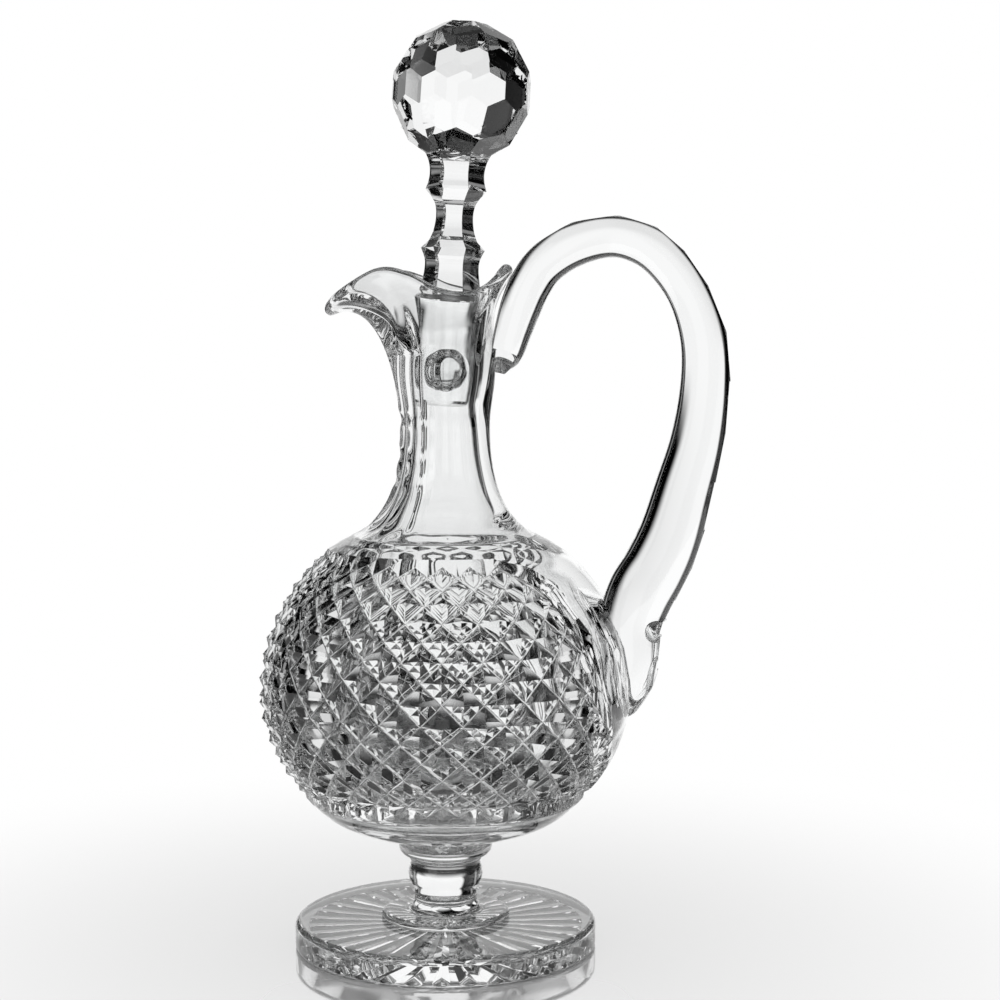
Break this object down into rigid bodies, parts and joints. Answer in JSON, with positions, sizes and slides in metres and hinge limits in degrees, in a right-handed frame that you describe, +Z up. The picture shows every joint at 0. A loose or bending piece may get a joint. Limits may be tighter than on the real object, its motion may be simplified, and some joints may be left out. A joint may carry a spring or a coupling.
{
  "type": "claret decanter",
  "caption": "Footed cut-glass claret decanter: diamond-cut globe bowl, fluted neck with a pouring lip, loop handle, knopped stem, and a lift-out faceted ball stopper.",
  "frame": {"origin": "middle of the foot's underside, on the surface the decanter stands on", "axes": "+Z up along the decanter's axis, +X towards the handle, -X towards the pouring lip"},
  "size_m": [0.159, 0.1262, 0.3122],
  "materials": {
    "cut_crystal": "hand-cut and polished lead crystal",
    "clear_crystal": "fire-polished lead crystal",
    "stopper_crystal": "faceted and polished lead crystal"
  },
  "bodies": {
    "decanter": {"foot": "cut_crystal", "foot_wafer": "clear_crystal", "stem_knop": "clear_crystal", "stem_collar": "clear_crystal", "bowl": "cut_crystal", "neck": "clear_crystal", "handle": "clear_crystal"},
    "stopper": {"stopper": "stopper_crystal"}
  },
  "joints": [
    {"name": "stopper_lift", "type": "slide", "parent": "decanter", "child": "stopper", "axis": [0.0593, 0, 0.9982], "range_m": [0, 0.075]}
  ]
}
